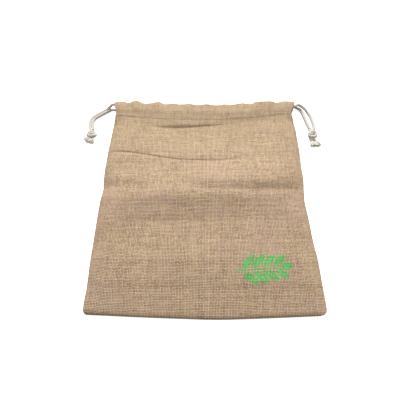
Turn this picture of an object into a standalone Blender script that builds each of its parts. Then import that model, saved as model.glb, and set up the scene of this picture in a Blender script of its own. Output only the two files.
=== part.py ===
"""Burlap drawstring bag, empty, lying on its back with its mouth towards +Y.

Metres, +Z up. The origin is under the middle of the bag, on the surface it lies on.
Two jute panels are sewn together at the sides and the bottom. The mouth edge of each is
turned in as a casing, and two cotton cords run in opposite ways through both casings, so
that each comes out as a knotted pair of strands at one top corner.

The tables below are in millimetres. "up" is the distance from the bottom seam towards
the mouth, and "side" is the distance from the bag's middle line, + to the right.
"""

import math

import bmesh
import bpy
from mathutils import Matrix, Vector

MM = 0.001

# Driving dimensions, millimetres
BAG_LENGTH = 361.0
HALF_WIDTH = 151.0
CLOTH = 1.0
CORD = 3.8
GAP = 0.3
LAYER_GAP = 0.4  # between the layers of a casing where they are stitched
CORNER_RADIUS = 8.0
CORNER_UP = 4.0  # where the rounded bottom corners start
SEAM_TOP = 2.45  # height of the front panel's outer face at the seams
SIDE_ROLL = 36.0  # how far in from a side seam the front panel is still rising
BOTTOM_ROLL = 44.0
BOTTOM_BEND = 5.0  # how far in the cloth bends up round the bottom seam
BOTTOM_BEND_SHARE = 0.28  # share of the rise in that bend
SIDE_OPENING = 18.0  # the side seams end this far below the casing's stitches
# Where the ridges cross the side seams, both panels lift off the surface: (up, spread, height)
SEAM_LIFTS = ((178.0, 13.0, 2.2), (224.0, 17.0, 2.6))
SEAM_LIFT_REACH = 30.0  # how far in from the seam
BACK_LIFT = 0.85  # the back panel lifts this share as far

# Casings
CASING_TOP = 18.3  # top of the front casing along most of the mouth
CASING_DROP = 4.4  # how much lower it is at the side seams
CASING_SINK = 2.0  # how much the cloth sinks from the casing's crown to its stitches
SINK_START = 16.0  # distance from the mouth where it starts to sink
SINK_END = 31.0
HEM_CLOSE = (18.0, 28.0)  # where the turned-in layer closes up to the outer one
OUTER_ROWS = (26.0, 20.0, 14.0, 8.0)  # distances of the casing's rows from the mouth
TURNED_ROWS = (8.0, 14.0, 18.0, 22.0, 26.0, 29.0)
FOLD_STEPS = 4
HEM_DEPTH = 34.0
CASING_UP = 348.0  # a line through the casings, for the side of what lies in them
TURNED_HALF_WIDTH = 133.0  # the turned-in layers stop short, to let the cords cross
CHANNEL_ROOM = 0.75  # spare height round the cords in a casing
FOLD_RADIUS = (CORD + CHANNEL_ROOM + CLOTH) / 2  # mid-cloth radius of the fold at the mouth
# Cord lines, measured back from the mouth's base line
CORD_SETBACK = {
    ("front", "upper"): 6.6,
    ("front", "lower"): 12.2,
    ("back", "upper"): 8.0,
    ("back", "lower"): 13.8,
}
# How far a cord climbs towards the mouth where it leaves the front casing
EXIT_RISE = {"upper": 3.0, "lower": 5.0}
EXIT_RISE_SPAN = (138.5, 153.5)
CROSSING = 134.0  # where a cord turns from the front casing down into the back one
RUN_END = 147.0  # where the cords leave the casings
RUN_STEPS = 30
RUN_STEP = (RUN_END + CROSSING) / RUN_STEPS
CROSSING_STEPS = 8

# Stations across the bag for the tables of folds
STATIONS = (-150.0, -95.0, -40.0, 15.0, 80.0, 150.0)

# Half-widths of the bag: (up, left, right)
OUTLINE = (
    (-2.0, 151.3, 151.6),
    (18.0, 151.3, 151.6),
    (40.0, 150.4, 151.0),
    (75.0, 151.0, 150.2),
    (110.0, 150.5, 147.2),
    (135.0, 150.2, 146.3),
    (158.0, 149.7, 144.6),
    (172.0, 148.9, 143.6),
    (187.0, 146.9, 144.9),
    (209.0, 148.5, 146.8),
    (225.0, 148.5, 146.1),
    (256.0, 148.4, 147.5),
    (290.0, 146.5, 147.2),
    (306.0, 145.8, 146.7),
    (320.0, 143.0, 143.8),
    (331.0, 141.6, 141.4),
    (338.0, 143.0, 143.2),
    (346.0, 146.2, 146.8),
    (352.0, 146.8, 148.8),
    (358.0, 142.5, 145.2),
)

# Fold lines of the front panel from the bottom to the casing:
# (name, up at each station, height of the outer face at each station)
FOLDS = (
    ("foot", (29, 29, 29, 29, 29, 29), (9.2, 9.6, 9.8, 9.8, 9.6, 9.0)),
    ("belly", (82, 82, 84, 84, 82, 82), (12.4, 13.2, 14.2, 14.6, 13.6, 12.8)),
    ("hollow", (118, 120, 124, 126, 128, 124), (14.2, 14.0, 14.2, 14.8, 14.7, 14.4)),
    ("slope", (142, 146, 150, 150, 152, 150), (16.4, 17.4, 18.7, 18.9, 17.2, 15.0)),
    ("near_ridge", (164, 168, 173, 174, 175, 172), (17.2, 20.0, 23.2, 22.9, 19.7, 14.2)),
    ("valley", (187, 186, 185, 183, 184, 184), (15.0, 18.6, 22.1, 22.5, 19.6, 13.0)),
    ("far_ridge_foot", (202, 198, 196, 196, 198, 206), (16.2, 18.9, 20.3, 23.9, 22.9, 16.4)),
    ("far_ridge", (226, 225, 222, 222, 228, 230), (15.8, 15.9, 16.8, 19.4, 19.2, 15.8)),
    ("long_crease_near", (248.5, 241.5, 231, 227.5, 236, 240), (15.7, 15.1, 15.9, 18.3, 17.8, 15.2)),
    ("long_crease", (253, 245.5, 235.5, 231.5, 240, 244), (14.9, 14.4, 15.3, 17.5, 17.3, 15.0)),
    ("long_crease_far", (257.5, 250.5, 240, 236.5, 244, 248), (15.6, 15.2, 15.7, 17.6, 16.8, 14.8)),
    ("yoke", (281, 279, 277, 277, 278, 281), (15.0, 14.4, 13.7, 14.4, 14.4, 14.4)),
    ("short_crease_near", (293, 294, 297, 299.5, 301, 300), (14.6, 14.1, 13.0, 13.6, 14.4, 14.2)),
    ("short_crease", (297.5, 299, 300, 303, 306, 305), (14.5, 14.1, 12.7, 13.4, 14.4, 14.1)),
    ("short_crease_far", (302, 303, 303.7, 307, 311, 310), (14.5, 14.3, 15.0, 15.2, 14.6, 14.0)),
)
ROWS_BETWEEN = {
    "belly": 2,
    "hollow": 2,
    "slope": 2,
    "near_ridge": 3,
    "valley": 3,
    "yoke": 2,
    "short_crease_far": 3,
}

# The bottom seam and the lines of the casings, up at each station
BOTTOM_EDGE = (5.0, 2.4, 0.4, -1.0, 0.8, 3.7)
FRONT_STITCHES = (327.0, 318.5, 315.0, 315.0, 319.5, 330.0)
FRONT_MOUTH = (356.4, 351.3, 348.3, 346.4, 349.8, 356.8)
BACK_MOUTH = (361.0, 357.5, 354.5, 354.0, 357.0, 361.0)

# Puckers along the mouth: (side, how far the edge stands out)
PUCKERS = (
    (-137.7, 3.0),
    (-124.5, -4.0),
    (-114.4, 3.9),
    (-97.2, -4.3),
    (-76.0, 2.9),
    (-62.4, -2.6),
    (-49.3, 0.9),
    (-39.3, -1.1),
    (-24.5, 1.3),
    (-11.2, -1.5),
    (3.6, 1.5),
    (20.9, -1.5),
    (35.0, 0.8),
    (44.8, -1.0),
    (64.8, 1.4),
    (77.8, -3.0),
    (88.2, 3.2),
    (111.4, 2.4),
    (119.3, -3.1),
    (136.6, 3.3),
)
PUCKER_PLAN = 0.5  # share of a pucker that shows in plan; the rest is height
PUCKER_FADE = (9.0, 25.0)  # distances from the mouth between which it dies out
EDGE_STEPS = (0.0, 1.5, 4.0, 8.0)  # finer columns and rows next to the seams
BOTTOM_STEPS = (0.0, 1.5, 4.0, 8.0, 14.0, 21.0)
BACK_ROWS = (29.0, 79.0, 127.0, 160.0, 178.0, 196.0, 210.0, 224.0, 240.0, 270.0, 300.0)

# Free ends of the cords. The drops are (side, up, height) of a strand on its way down from
# the casing; the routes are the middle of the pair of strands, lying on the surface.
STRAND_APART = 4.3
LEFT_FRONT_DROP = ((-155.4, 351.2, 6.4), (-160.0, 348.7, 3.2))
LEFT_BACK_DROP = ((-152.8, 347.6, 3.0), (-156.8, 346.6, 2.2))
LEFT_ROUTE = (
    (-164.6, 343.3, 2.0),
    (-170.5, 338.8, 2.0),
    (-176.4, 334.2, 2.0),
    (-180.6, 329.2, 2.0),
    (-182.6, 323.0, 2.0),
    (-182.2, 316.0, 2.0),
    (-181.2, 309.0, 2.2),
    (-180.0, 302.5, 2.8),
    (-179.0, 296.5, 3.8),
)
RIGHT_FRONT_DROP = ((155.4, 352.6, 9.6), (161.6, 351.7, 6.6))
RIGHT_BACK_DROP = ((154.6, 352.6, 2.6), (159.4, 349.0, 2.0))
RIGHT_INNER_ROUTE = (
    (162.3, 342.0, 2.0),
    (164.0, 334.0, 2.0),
    (165.6, 326.2, 2.0),
    (167.3, 318.4, 2.0),
    (169.2, 310.2, 2.2),
    (170.6, 303.6, 2.8),
    (171.4, 297.5, 3.8),
)
RIGHT_OUTER_ROUTE = (
    (167.4, 348.4, 3.8),
    (171.8, 342.4, 2.2),
    (174.7, 334.0, 2.0),
    (176.4, 325.4, 2.0),
    (177.4, 317.0, 2.0),
    (177.4, 309.4, 2.1),
    (176.2, 303.0, 2.8),
    (174.8, 297.0, 3.8),
)
# The knots: middle, turn about Z in degrees, and size along and across
KNOT_LEFT = {"side": -178.4, "up": 294.4, "turn": -10.0, "long": 15.0, "wide": 12.5}
KNOT_RIGHT = {"side": 172.2, "up": 294.4, "turn": 12.0, "long": 16.5, "wide": 18.5}
KNOT_CORD = 1.35  # the pair of strands in a knot, as one round cord this much thicker
KNOT_GAP = 0.5
KNOT_VOXEL = 1.0
# Cut tails: they fray and spread towards their ends
TAIL_SPREAD = 2.0  # width of a frayed end, as a multiple of the cord's
TAIL_FRAYED = 0.6  # share of a tail along which it opens up
TAIL_ROUND = 0.75  # share of a tail from where its end is rounded off
LEFT_TAILS = (
    ((-180.6, 291.0, 4.4), (-183.2, 287.0, 4.2), (-187.4, 282.0, 4.1)),
    ((-178.0, 290.0, 4.4), (-177.6, 284.0, 4.2), (-178.4, 277.6, 4.1)),
)
RIGHT_TAILS = (
    ((170.2, 290.0, 4.4), (168.9, 280.5, 4.2), (171.6, 270.6, 4.1)),
    ((174.6, 290.0, 4.4), (176.4, 280.5, 4.2), (177.8, 271.2, 4.1)),
)

JUTE_COLOUR = (0.515, 0.366, 0.238, 1.0)
COTTON_COLOUR = (0.806, 0.745, 0.694, 1.0)


# ---------------------------------------------------------------- helpers


def clear_scene():
    for obj in list(bpy.data.objects):
        bpy.data.objects.remove(obj, do_unlink=True)


def material(name, colour, roughness):
    mat = bpy.data.materials.new(name)
    mat.use_nodes = True
    shader = mat.node_tree.nodes["Principled BSDF"]
    shader.inputs["Base Color"].default_value = colour
    shader.inputs["Roughness"].default_value = roughness
    shader.inputs["Metallic"].default_value = 0.0
    return mat


def smooth_through(xs, ys, x):
    """A smooth curve through the points that never overshoots between two of them."""
    if x <= xs[0]:
        return ys[0]
    if x >= xs[-1]:
        return ys[-1]
    i = max(k for k in range(len(xs) - 1) if xs[k] <= x)
    widths = [b - a for a, b in zip(xs, xs[1:])]
    slopes = [(b - a) / w for a, b, w in zip(ys, ys[1:], widths)]

    def tangent(k):
        if k in (0, len(xs) - 1):
            return slopes[0] if k == 0 else slopes[-1]
        before, after = slopes[k - 1], slopes[k]
        if before * after <= 0:
            return 0.0
        w1 = 2 * widths[k] + widths[k - 1]
        w2 = widths[k] + 2 * widths[k - 1]
        return (w1 + w2) / (w1 / before + w2 / after)

    w = widths[i]
    u = (x - xs[i]) / w
    h00 = (1 + 2 * u) * (1 - u) ** 2
    h10 = u * (1 - u) ** 2
    h01 = u * u * (3 - 2 * u)
    h11 = u * u * (u - 1)
    return h00 * ys[i] + h10 * w * tangent(i) + h01 * ys[i + 1] + h11 * w * tangent(i + 1)


def smoothstep(low, high, x):
    u = min(1.0, max(0.0, (x - low) / (high - low)))
    return u * u * (3 - 2 * u)


def roll(distance, reach):
    """Rise of the cloth from a seam, 0 at the seam and 1 at its reach."""
    if distance <= 0:
        return 0.0
    if distance >= reach:
        return 1.0
    return (1 - (1 - distance / reach) ** 3) ** 0.62


def bottom_roll(distance):
    """Rise of the cloth from the bottom seam: a short bend, then an even slope."""
    bend = roll(distance, BOTTOM_BEND)
    slope = min(1.0, distance / BOTTOM_ROLL)
    return BOTTOM_BEND_SHARE * bend + (1 - BOTTOM_BEND_SHARE) * slope


def across(values, side):
    return smooth_through(STATIONS, values, side)


def half_width(up, side):
    """Half-width of the bag at this height, with the rounded bottom corners."""
    ups = [row[0] for row in OUTLINE]
    width = smooth_through(ups, [row[1 if side < 0 else 2] for row in OUTLINE], up)
    depth = CORNER_RADIUS - (up - CORNER_UP)
    if depth > 0:
        depth = min(depth, CORNER_RADIUS)
        width -= CORNER_RADIUS - math.sqrt(CORNER_RADIUS**2 - depth**2)
    return width


def bottom_edge(share):
    return across(BOTTOM_EDGE, share * HALF_WIDTH)


def pucker(side):
    """How far the mouth edge stands out here, between the rows of the table."""
    xs = [-152.0] + [row[0] for row in PUCKERS] + [152.0]
    ys = [0.0] + [row[1] for row in PUCKERS] + [0.0]
    return smooth_through(xs, ys, side)


def mouth_side(share):
    """Side of a column where it passes through the casing."""
    return share * half_width(CASING_UP, share)


def casing_top(side):
    return CASING_TOP - CASING_DROP * min(1.0, abs(side) / 150.0) ** 8


def seam_lift(side_gap, up):
    """Height of both panels off the surface, side_gap in from a side seam."""
    lift = sum(height * math.exp(-(((up - at) / spread) ** 2)) for at, spread, height in SEAM_LIFTS)
    return lift * (1 - smoothstep(0.0, SEAM_LIFT_REACH, side_gap))


def panel_object(name, grid, mat):
    """A grid of mid-cloth points, given the cloth's thickness."""
    bm = bmesh.new()
    verts = [[bm.verts.new((x * MM, (up - BAG_LENGTH / 2) * MM, z * MM)) for x, up, z in row] for row in grid]
    for low, high in zip(verts, verts[1:]):
        for j in range(len(low) - 1):
            bm.faces.new((low[j], low[j + 1], high[j + 1], high[j]))
    mesh = bpy.data.meshes.new(name)
    bm.to_mesh(mesh)
    bm.free()
    mesh.shade_smooth()
    mesh.materials.append(mat)
    obj = bpy.data.objects.new(name, mesh)
    bpy.context.collection.objects.link(obj)
    skin = obj.modifiers.new("cloth", "SOLIDIFY")
    skin.thickness = CLOTH * MM
    skin.offset = 0.0
    skin.use_even_offset = True
    return obj


# ---------------------------------------------------------------- the panels


def columns():
    """Shares of the half-width, from -1 to 1: a column at each pucker, finer at the seams."""
    edge = [-1 + step / HALF_WIDTH for step in EDGE_STEPS]
    middle = [row[0] / half_width(CASING_UP, row[0]) for row in PUCKERS]
    return edge + middle + [-share for share in reversed(edge)]


def fold_heights(share):
    """(up, height) of the front panel's fold lines in this column, and the rows between them."""
    side = share * HALF_WIDTH
    ups = [bottom_edge(share)]
    tops = [across(FOLDS[0][2], side)]
    for _, up, height in FOLDS:
        ups.append(across(up, side))
        tops.append(across(height, side))
    ups.append(across(FRONT_STITCHES, side))
    tops.append(casing_top(mouth_side(share)) - CASING_SINK)
    return ups, tops


def front_top(share, up, fold_ups, fold_tops):
    """Side and height of the front panel's outer face."""
    stitches = fold_ups[-1]
    width = half_width(up, share)
    side = share * width
    side_gap = width - abs(side)
    full = smooth_through(fold_ups, fold_tops, up)
    closed = roll(side_gap, SIDE_ROLL) * bottom_roll(up - fold_ups[0])
    closed += (1 - closed) * smoothstep(stitches - SIDE_OPENING, stitches, up)
    lift = seam_lift(side_gap, up)
    return side, SEAM_TOP + lift * (1 - closed) + (full - SEAM_TOP) * closed


def casing_section(crown, sink, facing):
    """Mid-cloth points of a casing from its stitches over the mouth fold and back:
    (distance from the mouth edge, height, 1 on the outer layer and 0 on the turned one).
    facing is 1 for the front casing, whose outer layer is on top, and -1 for the back."""
    outer = crown - facing * CLOTH / 2
    edge = FOLD_RADIUS + CLOTH / 2
    points = []
    for back in OUTER_ROWS:
        points.append((back, outer - sink * smoothstep(SINK_START, SINK_END, back), 1.0))
    for step in range(FOLD_STEPS + 1):
        angle = math.pi * step / FOLD_STEPS
        forward = FOLD_RADIUS * math.sin(angle)
        height = outer - facing * FOLD_RADIUS * (1 - math.cos(angle))
        points.append((edge - forward, height, 1 - step / FOLD_STEPS))
    open_gap = 2 * FOLD_RADIUS
    shut_gap = CLOTH + LAYER_GAP
    for back in (*TURNED_ROWS, HEM_DEPTH):
        between = open_gap + (shut_gap - open_gap) * smoothstep(*HEM_CLOSE, back)
        sunk = outer - sink * smoothstep(SINK_START, SINK_END, back)
        points.append((back, sunk - facing * between, 0.0))
    return points


def casing_rows(share, mouth, crown, sink, facing):
    """Grid points of a casing in one column, from its stitches to the end of the turned layer."""
    side = mouth_side(share)
    stand_out = pucker(side)
    in_plan = PUCKER_PLAN * stand_out
    rows = []
    for back, height, on_outer in casing_section(crown, sink, facing):
        fade = 1 - smoothstep(*PUCKER_FADE, back)
        raised = facing > 0 and on_outer > 0.5
        puff = (1 - PUCKER_PLAN) * max(0.0, stand_out) * fade if raised else 0.0
        up = across(mouth, side) - back + in_plan * fade
        width = half_width(up, share)
        width += (TURNED_HALF_WIDTH - width) * (1 - on_outer)
        rows.append((share * width, up, height + puff))
    return rows


def front_panel(mat):
    by_column = []
    for share in columns():
        ups, tops = fold_heights(share)
        levels = [bottom_edge(share) + step for step in BOTTOM_STEPS]
        for k in range(1, len(ups) - 1):
            between = ROWS_BETWEEN.get(FOLDS[k - 1][0], 1)
            levels += [ups[k] + (ups[k + 1] - ups[k]) * n / between for n in range(between)]
        levels.append(ups[-1])
        column = []
        for up in levels:
            side, top = front_top(share, up, ups, tops)
            column.append((side, up, top - CLOTH / 2))
        crown = casing_top(mouth_side(share))
        column += casing_rows(share, FRONT_MOUTH, crown, CASING_SINK, 1)
        by_column.append(column)
    return panel_object("front_panel", list(zip(*by_column)), mat)


def back_panel(mat):
    by_column = []
    for share in columns():
        start = bottom_edge(share)
        end = across(BACK_MOUTH, mouth_side(share)) - HEM_DEPTH
        levels = [start + step for step in EDGE_STEPS] + [*BACK_ROWS, end]
        column = []
        for up in levels:
            width = half_width(up, share)
            lift = BACK_LIFT * seam_lift(width - abs(share * width), up)
            column.append((share * width, up, CLOTH / 2 + lift))
        column += casing_rows(share, BACK_MOUTH, 0.0, 0.0, -1)
        by_column.append(column)
    grid = list(zip(*by_column))
    obj = panel_object("back_panel", grid, mat)
    obj.data.flip_normals()
    return obj


# ---------------------------------------------------------------- the cords


def tube(name, points, mat, thickness=1.0, swell=None):
    """A cord as a round tube along points, in millimetres as (side, up, height).
    swell gives the thickness of each point as a multiple, where it isn't even."""
    data = bpy.data.curves.new(name, "CURVE")
    data.dimensions = "3D"
    data.bevel_depth = CORD * thickness / 2 * MM
    data.bevel_resolution = 2
    data.use_fill_caps = True
    line = data.splines.new("POLY")
    line.points.add(len(points) - 1)
    for point, (side, up, height) in zip(line.points, points):
        point.co = (side * MM, (up - BAG_LENGTH / 2) * MM, height * MM, 1.0)
    for k, multiple in enumerate(swell or ()):
        line.points[k].radius = multiple
    line.use_smooth = True
    data.materials.append(mat)
    obj = bpy.data.objects.new(name, data)
    bpy.context.collection.objects.link(obj)
    return obj


def spline_points(route, spacing):
    """Evenly spaced points on a smooth curve through the route's own points."""
    pts = [Vector(p) for p in route]
    pts = [2 * pts[0] - pts[1]] + pts + [2 * pts[-1] - pts[-2]]
    fine = []
    for k in range(1, len(pts) - 2):
        p0, p1, p2, p3 = pts[k - 1 : k + 3]
        for n in range(20):
            u = n / 20
            fine.append(
                0.5
                * (
                    2 * p1
                    + (p2 - p0) * u
                    + (2 * p0 - 5 * p1 + 4 * p2 - p3) * u * u
                    + (3 * p1 - p0 - 3 * p2 + p3) * u**3
                )
            )
    fine.append(pts[-2])
    lengths = [0.0]
    for a, b in zip(fine, fine[1:]):
        lengths.append(lengths[-1] + (b - a).length)
    count = max(2, round(lengths[-1] / spacing))
    out = []
    k = 0
    for n in range(count + 1):
        want = lengths[-1] * n / count
        while k < len(lengths) - 2 and lengths[k + 1] < want:
            k += 1
        step = lengths[k + 1] - lengths[k]
        out.append(fine[k].lerp(fine[k + 1], (want - lengths[k]) / step if step else 0.0))
    return out


def channel(panel, line, side):
    """A point of a cord in a casing: panel is front or back, line is upper or lower."""
    mouth = FRONT_MOUTH if panel == "front" else BACK_MOUTH
    up = across(mouth, side) - CORD_SETBACK[panel, line]
    if panel == "front":
        up += EXIT_RISE[line] * smoothstep(*EXIT_RISE_SPAN, abs(side))
    from_face = CLOTH + CHANNEL_ROOM / 2 + CORD / 2
    height = casing_top(side) - from_face if panel == "front" else from_face
    return Vector((side, up, height))


def casing_run(name, start_side, front_line, mat):
    """A drawcord inside the casings: through the front one, round the far end, and back."""
    back_line = "lower" if front_line == "upper" else "upper"
    far = -start_side
    turn = math.copysign(CROSSING, far)
    steps = [start_side + (turn - start_side) * n / RUN_STEPS for n in range(RUN_STEPS + 1)]
    points = [channel("front", front_line, side) for side in steps]
    turn_in = channel("front", front_line, turn)
    turn_out = channel("back", back_line, turn)
    middle = (turn_in + turn_out) / 2
    arm = turn_in - middle
    outward = Vector((math.copysign(arm.length, far), 0, 0))
    for step in range(1, CROSSING_STEPS):
        angle = math.pi * step / CROSSING_STEPS
        points.append(middle + arm * math.cos(angle) + outward * math.sin(angle))
    points += [channel("back", back_line, side) for side in reversed(steps)]
    return tube(name, points, mat)


def beside(route, shift):
    """The route moved sideways on the surface, + to the left of its way."""
    out = []
    for k, (side, up, height) in enumerate(route):
        before = Vector(route[max(0, k - 1)])
        after = Vector(route[min(len(route) - 1, k + 1)])
        along = (after - before).normalized()
        out.append((side - along.y * shift, up + along.x * shift, height))
    return out


def free_strand(name, panel, line, sign, drop, route, mat):
    """One strand from the casing's end, down to the surface and along to the knot.
    Returns the last stretch, which is inside the knot and belongs to it."""
    end_of_run = channel(panel, line, sign * RUN_END)
    outward = (end_of_run - channel(panel, line, sign * (RUN_END - RUN_STEP))).normalized()
    exit_point = end_of_run + outward * GAP
    way = [exit_point, exit_point + outward * 3.5, *drop, *route]
    points = spline_points(way, 2 * CORD)
    points.insert(1, exit_point + outward * 2.0)
    tube(name, points[:-1], mat)
    end, inside = points[-2], points[-1]
    return [end + (inside - end).normalized() * KNOT_GAP, inside]


def knot_line(size):
    """Middle line of an open overhand knot, in at the mouth's side and out at the other."""
    reach, count = 2.02, 40
    fat = CORD * KNOT_CORD
    points = []
    for n in range(count):
        t = reach - 2 * reach * n / (count - 1)
        sideways = ((t**4 - 4 * t * t) / 4 + 0.5) * (size["wide"] - fat)
        along = (t**3 - 3 * t) / 2.2 * (size["long"] - fat) / 2
        over = (t**5 - 10 * t) / 14 * CORD * 0.55
        points.append(Vector((sideways, along, over)))
    return points


def frayed_tail(tail, mat):
    """A cut end of a cord: it opens up along its length and has a round, soft end."""
    points = spline_points(tail, CORD / 2)
    swell = []
    for k in range(len(points)):
        share = k / (len(points) - 1)
        width = 1 + (TAIL_SPREAD - 1) * smoothstep(0.0, TAIL_FRAYED, share)
        past = max(0.0, (share - TAIL_ROUND) / (1 - TAIL_ROUND))
        swell.append(width * math.sqrt(1 - 0.8 * past * past))
    return tube("tail", points, mat, swell=swell)


def knot(name, size, stretches, tails, mat):
    """An overhand knot of the two strands and its two cut tails, as one body."""
    line = knot_line(size)
    lift = CORD * KNOT_CORD / 2 + 0.2 - min(p.z for p in line)
    turn = Matrix.Rotation(math.radians(size["turn"]), 3, "Z")
    middle = Vector((size["side"], size["up"], lift))
    body = tube("body", [middle + turn @ p for p in line], mat, KNOT_CORD)
    parts = [body] + [tube("strand", points, mat) for points in stretches]
    parts += [frayed_tail(tail, mat) for tail in tails]
    bm = bmesh.new()
    depsgraph = bpy.context.evaluated_depsgraph_get()
    for part in parts:
        bm.from_mesh(bpy.data.meshes.new_from_object(part.evaluated_get(depsgraph)))
        bpy.data.objects.remove(part, do_unlink=True)
    mesh = bpy.data.meshes.new(name)
    bm.to_mesh(mesh)
    bm.free()
    mesh.materials.append(mat)
    obj = bpy.data.objects.new(name, mesh)
    bpy.context.collection.objects.link(obj)
    union = obj.modifiers.new("union", "REMESH")
    union.mode = "VOXEL"
    union.voxel_size = KNOT_VOXEL * MM
    union.use_smooth_shade = True
    return obj


# ---------------------------------------------------------------- the bag


def left_cord(mat):
    casing_run("drawcord_left", -RUN_END, "upper", mat)
    outer = beside(LEFT_ROUTE, -STRAND_APART / 2)
    inner = beside(LEFT_ROUTE, STRAND_APART / 2)
    stretches = [
        free_strand("cord_left_front", "front", "upper", -1, LEFT_FRONT_DROP, outer, mat),
        free_strand("cord_left_back", "back", "lower", -1, LEFT_BACK_DROP, inner, mat),
    ]
    knot("knot_left", KNOT_LEFT, stretches, LEFT_TAILS, mat)


def right_cord(mat):
    casing_run("drawcord_right", RUN_END, "lower", mat)
    inner, outer = RIGHT_INNER_ROUTE, RIGHT_OUTER_ROUTE
    stretches = [
        free_strand("cord_right_front", "front", "lower", 1, RIGHT_FRONT_DROP, outer, mat),
        free_strand("cord_right_back", "back", "upper", 1, RIGHT_BACK_DROP, inner, mat),
    ]
    knot("knot_right", KNOT_RIGHT, stretches, RIGHT_TAILS, mat)


def build():
    clear_scene()
    jute = material("jute_burlap", JUTE_COLOUR, 0.9)
    cotton = material("cotton_cord", COTTON_COLOUR, 0.85)
    front_panel(jute)
    back_panel(jute)
    left_cord(cotton)
    right_cord(cotton)


build()
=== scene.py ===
"""Looks of the burlap drawstring bag: woven jute, twisted cotton cords, stitches, floor and light.

The tables are in millimetres. "up" is the distance from the bottom seam towards the mouth,
"side" is the distance from the bag's middle line, + to the right, and height is above the
surface. The shape follows the model's own fold lines, with sharper creases.
"""

import math

import bpy
import numpy as np
from mathutils import Matrix, Vector


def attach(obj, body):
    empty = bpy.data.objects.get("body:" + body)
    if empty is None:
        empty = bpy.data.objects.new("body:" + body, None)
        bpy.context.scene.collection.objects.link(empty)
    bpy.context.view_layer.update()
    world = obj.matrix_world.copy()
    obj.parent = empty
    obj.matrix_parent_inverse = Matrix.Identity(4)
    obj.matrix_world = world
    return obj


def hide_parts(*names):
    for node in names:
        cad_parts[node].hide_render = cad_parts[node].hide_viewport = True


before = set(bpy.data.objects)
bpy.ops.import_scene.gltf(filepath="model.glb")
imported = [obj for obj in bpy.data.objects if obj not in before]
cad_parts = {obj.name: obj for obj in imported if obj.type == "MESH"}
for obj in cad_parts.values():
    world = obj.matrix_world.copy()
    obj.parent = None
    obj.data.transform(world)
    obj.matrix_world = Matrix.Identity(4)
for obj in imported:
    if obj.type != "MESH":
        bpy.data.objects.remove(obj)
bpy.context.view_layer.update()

MM = 0.001

# ---------- sizes, as in the model

BAG_LENGTH = 361.0
HALF_WIDTH = 151.0
CLOTH = 1.0
CORD = 3.8
CORNER_RADIUS = 8.0
CORNER_UP = 4.0  # where the rounded bottom corners start
SEAM_TOP = 2.15  # height of the front panel's outer face at the seams, 0.3 under the model's
SIDE_ROLL = 36.0  # reach of the front panel's rise at a side seam
BOTTOM_ROLL = 44.0  # the same, in from the bottom seam
ROLL_BEND = 0.62  # the less, the steeper the cloth rises at a seam
BOTTOM_BEND = 5.0  # how far in the cloth bends up round the bottom seam
BOTTOM_BEND_SHARE = 0.28  # share of the rise in that bend
SIDE_OPENING = 18.0  # the side seams end this far below the casing's stitches
# Lifts of both panels where the ridges cross the side seams: (up, spread, height)
SEAM_LIFTS = ((178.0, 13.0, 2.2), (224.0, 17.0, 2.6))
SEAM_LIFT_REACH = 30.0  # how far in from the seam
BACK_LIFT = 0.85  # the back panel lifts this share as far

# Casings
CASING_TOP = 18.3  # top of the front casing along most of the mouth
CASING_DROP = 4.4  # how much lower it is at the side seams
CASING_DROP_SIDE = 150.0
CASING_DROP_BEND = 8  # the higher, the nearer to the seams it drops
CASING_SINK = 2.0  # from the casing's crown to its stitches
SINK_START = 16.0  # where it starts to sink, back from the mouth
SINK_END = 31.0  # and where it ends, at the stitches
HEM_CLOSE = (18.0, 28.0)  # where the turned-in layer closes up to the outer one
HEM_DEPTH = 34.0  # how far the mouth's edge is turned in
LAYER_GAP = 0.4  # between the layers of a casing where they are stitched
CASING_UP = 348.0  # a line through the casings, for the side of what lies in them
TURNED_HALF_WIDTH = 133.0  # the turned-in layers stop short, to let the cords cross
CHANNEL_ROOM = 0.75  # spare height round the cords in a casing
FOLD_RADIUS = (CORD + CHANNEL_ROOM + CLOTH) / 2  # mid-cloth radius of the fold at the mouth
# Cord lines, measured back from the mouth's base line
CORD_SETBACK = {
    ("front", "upper"): 6.6, ("front", "lower"): 12.2,
    ("back", "upper"): 8.0, ("back", "lower"): 13.8,
}
# Rise of a cord towards the mouth where it leaves the front casing
EXIT_RISE = {"upper": 3.0, "lower": 5.0}
EXIT_RISE_SPAN = (138.5, 153.5)
EXIT_LENGTH = 3.8  # straight stretch of a strand out of its casing
CROSSING = 134.0  # where a cord turns down into the back casing
RUN_END = 147.0  # where the cords leave the casings
RUN_STEPS = 30
CROSSING_STEPS = 8

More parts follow.
